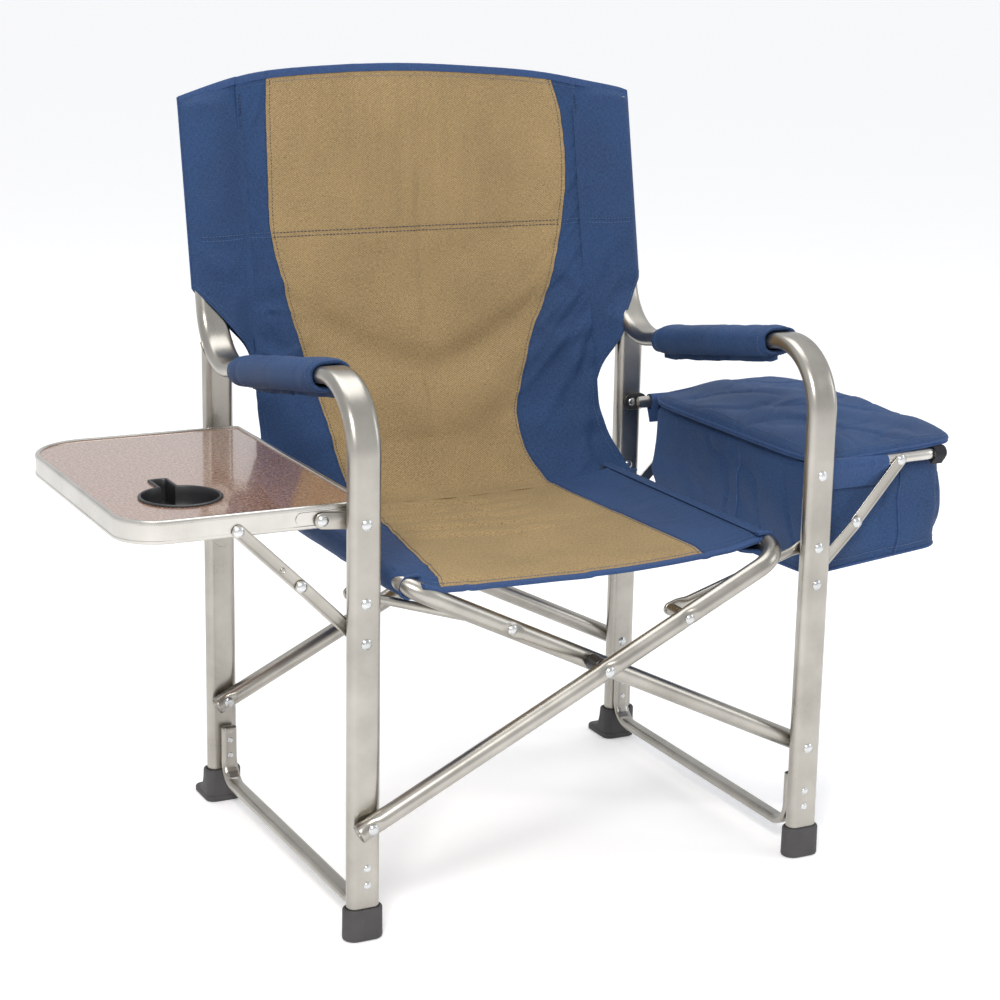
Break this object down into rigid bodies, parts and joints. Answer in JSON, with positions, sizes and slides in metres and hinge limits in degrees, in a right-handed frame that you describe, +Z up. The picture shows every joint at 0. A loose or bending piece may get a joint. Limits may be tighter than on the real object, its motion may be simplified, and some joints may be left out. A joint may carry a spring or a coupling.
{
  "type": "director chair",
  "caption": "Folding director chair: two flat-oval tube side frames, scissor cross bars, fabric sling seat and back, a drop-side table with cup holder and a soft cooler.",
  "frame": {"origin": "centre of the bounding box of the opened chair, on the floor plane", "axes": "+Z up, the sitter faces -Y, +X towards the cooler, -X towards the table"},
  "size_m": [1.047, 0.5684, 0.9083],
  "materials": {
    "frame_metal": "satin champagne powder coat",
    "zinc": "bright zinc plate",
    "foot_rubber": "matt moulded rubber",
    "black_plastic": "fine moulded grain",
    "navy_fabric": "woven polyester",
    "tan_fabric": "woven polyester",
    "laminate": "glossy mottled laminate"
  },
  "bodies": {
    "table_side_frame": {"table_side_arm_frame": "frame_metal", "table_side_rear_leg": "frame_metal", "table_side_lower_brace": "frame_metal", "table_side_front_foot": "foot_rubber", "table_side_rear_foot": "foot_rubber", "table_side_arm_pad": "navy_fabric", "table_side_back_sleeve": "navy_fabric", "table_side_front_bracket": "frame_metal", "table_side_rear_bracket": "frame_metal", "table_side_front_pivot_pin": "zinc", "table_side_rear_pivot_pin": "zinc", "table_side_front_link_pin": "zinc", "table_side_rear_link_pin": "zinc", "back_panel": "tan_fabric"},
    "cooler_side_frame": {"cooler_side_arm_frame": "frame_metal", "cooler_side_rear_leg": "frame_metal", "cooler_side_lower_brace": "frame_metal", "cooler_side_front_foot": "foot_rubber", "cooler_side_rear_foot": "foot_rubber", "cooler_side_arm_pad": "navy_fabric", "cooler_side_back_sleeve": "navy_fabric", "cooler_side_front_bracket": "black_plastic", "cooler_side_rear_bracket": "black_plastic", "cooler_side_front_pivot_pin": "zinc", "cooler_side_rear_pivot_pin": "zinc", "cooler_side_front_link_pin": "zinc", "cooler_side_rear_link_pin": "zinc"},
    "cross_bar_a": {"cross_bar_a": "frame_metal", "front_crossing_spacer": "black_plastic", "rear_crossing_spacer": "black_plastic", "front_crossing_bolt": "zinc", "rear_crossing_bolt": "zinc", "cooler_side_front_bar_rivet": "zinc", "cooler_side_rear_bar_rivet": "zinc"},
    "cross_bar_b": {"cross_bar_b": "frame_metal", "table_side_front_bar_rivet": "zinc", "table_side_rear_bar_rivet": "zinc"},
    "seat": {"seat_sling": "tan_fabric"},
    "table_side_links": {"table_side_front_link": "frame_metal", "table_side_rear_link": "frame_metal"},
    "cooler_side_links": {"cooler_side_front_link": "frame_metal", "cooler_side_rear_link": "frame_metal"},
    "table": {"table_rim": "frame_metal", "table_panel": "laminate", "cup_holder": "black_plastic"},
    "table_lower_struts": {"table_front_lower_strut": "frame_metal", "table_rear_lower_strut": "frame_metal"},
    "table_upper_struts": {"table_front_upper_strut": "frame_metal", "table_rear_upper_strut": "frame_metal"},
    "cooler": {"cooler_frame": "frame_metal", "cooler_bag": "navy_fabric"},
    "cooler_lid": {"cooler_lid": "navy_fabric"},
    "cooler_lower_struts": {"cooler_front_lower_strut": "frame_metal", "cooler_rear_lower_strut": "frame_metal"},
    "cooler_upper_struts": {"cooler_front_upper_strut": "frame_metal", "cooler_rear_upper_strut": "frame_metal"}
  },
  "joints": [
    {"name": "fold", "type": "hinge", "parent": "table_side_frame", "child": "cross_bar_a", "pos_m": [-0.2665, -0.02246, 0.138], "axis": [0, -1, 0], "range_deg": [0, 44], "deforming": ["seat_sling", "back_panel", "table_side_back_sleeve", "cooler_side_back_sleeve", "table_side_arm_pad", "cooler_side_arm_pad"]},
    {"name": "crossing", "type": "hinge", "parent": "cross_bar_a", "child": "cross_bar_b", "pos_m": [0.0215, -0.02246, 0.279], "axis": [0, -1, 0], "range_deg": [-88, 0]},
    {"name": "cooler_side_pivot", "type": "hinge", "parent": "cross_bar_b", "child": "cooler_side_frame", "pos_m": [0.3095, -0.02246, 0.138], "axis": [0, -1, 0], "range_deg": [0, 44]},
    {"name": "seat_rail", "type": "hinge", "parent": "cross_bar_a", "child": "seat", "pos_m": [0.2535, -0.02246, 0.39258], "axis": [0, -1, 0], "range_deg": [-44, 0]},
    {"name": "table_side_link_pivot", "type": "hinge", "parent": "table_side_frame", "child": "table_side_links", "pos_m": [-0.2665, -0.02246, 0.387], "axis": [0, -1, 0], "range_deg": [0, 83.45]},
    {"name": "cooler_side_link_pivot", "type": "hinge", "parent": "cooler_side_frame", "child": "cooler_side_links", "pos_m": [0.3095, -0.02246, 0.387], "axis": [0, -1, 0], "range_deg": [-83.45, 0]},
    {"name": "table_fold", "type": "hinge", "parent": "table_side_frame", "child": "table", "pos_m": [-0.3085, -0.02246, 0.478], "axis": [0, -1, 0], "range_deg": [0, 90]},
    {"name": "table_lower_strut_pivot", "type": "hinge", "parent": "table_side_frame", "child": "table_lower_struts", "pos_m": [-0.2665, -0.02246, 0.342], "axis": [0, -1, 0], "range_deg": [0, 72.05]},
    {"name": "table_upper_strut_pivot", "type": "hinge", "parent": "table", "child": "table_upper_struts", "pos_m": [-0.4015, -0.02246, 0.475], "axis": [0, -1, 0], "range_deg": [-163.15, 0]},
    {"name": "cooler_fold", "type": "hinge", "parent": "cooler_side_frame", "child": "cooler", "pos_m": [0.3215, -0.02246, 0.474], "axis": [0, 1, 0], "range_deg": [0, 90], "deforming": ["cooler_bag"]},
    {"name": "cooler_lower_strut_pivot", "type": "hinge", "parent": "cooler_side_frame", "child": "cooler_lower_struts", "pos_m": [0.3095, -0.02246, 0.342], "axis": [0, 1, 0], "range_deg": [0, 81.11]},
    {"name": "cooler_upper_strut_pivot", "type": "hinge", "parent": "cooler", "child": "cooler_upper_struts", "pos_m": [0.4365, -0.02246, 0.47745], "axis": [0, 1, 0], "range_deg": [-170.15, 0]},
    {"name": "lid_hinge", "type": "hinge", "parent": "cooler", "child": "cooler_lid", "pos_m": [0.5235, -0.02246, 0.489], "axis": [0, 1, 0], "range_deg": [0, 110]}
  ],
  "couplings": [
    {"joint": "crossing", "follows": "fold", "ratio": -2},
    {"joint": "cooler_side_pivot", "follows": "fold", "ratio": 1},
    {"joint": "seat_rail", "follows": "fold", "ratio": -1},
    {"joint": "table_side_link_pivot", "follows": "fold", "ratio": 1.8965},
    {"joint": "cooler_side_link_pivot", "follows": "fold", "ratio": -1.8965},
    {"joint": "table_lower_strut_pivot", "follows": "table_fold", "ratio": 0.8006},
    {"joint": "table_upper_strut_pivot", "follows": "table_fold", "ratio": -1.8128},
    {"joint": "cooler_lower_strut_pivot", "follows": "cooler_fold", "ratio": 0.9012},
    {"joint": "cooler_upper_strut_pivot", "follows": "cooler_fold", "ratio": -1.8905}
  ]
}
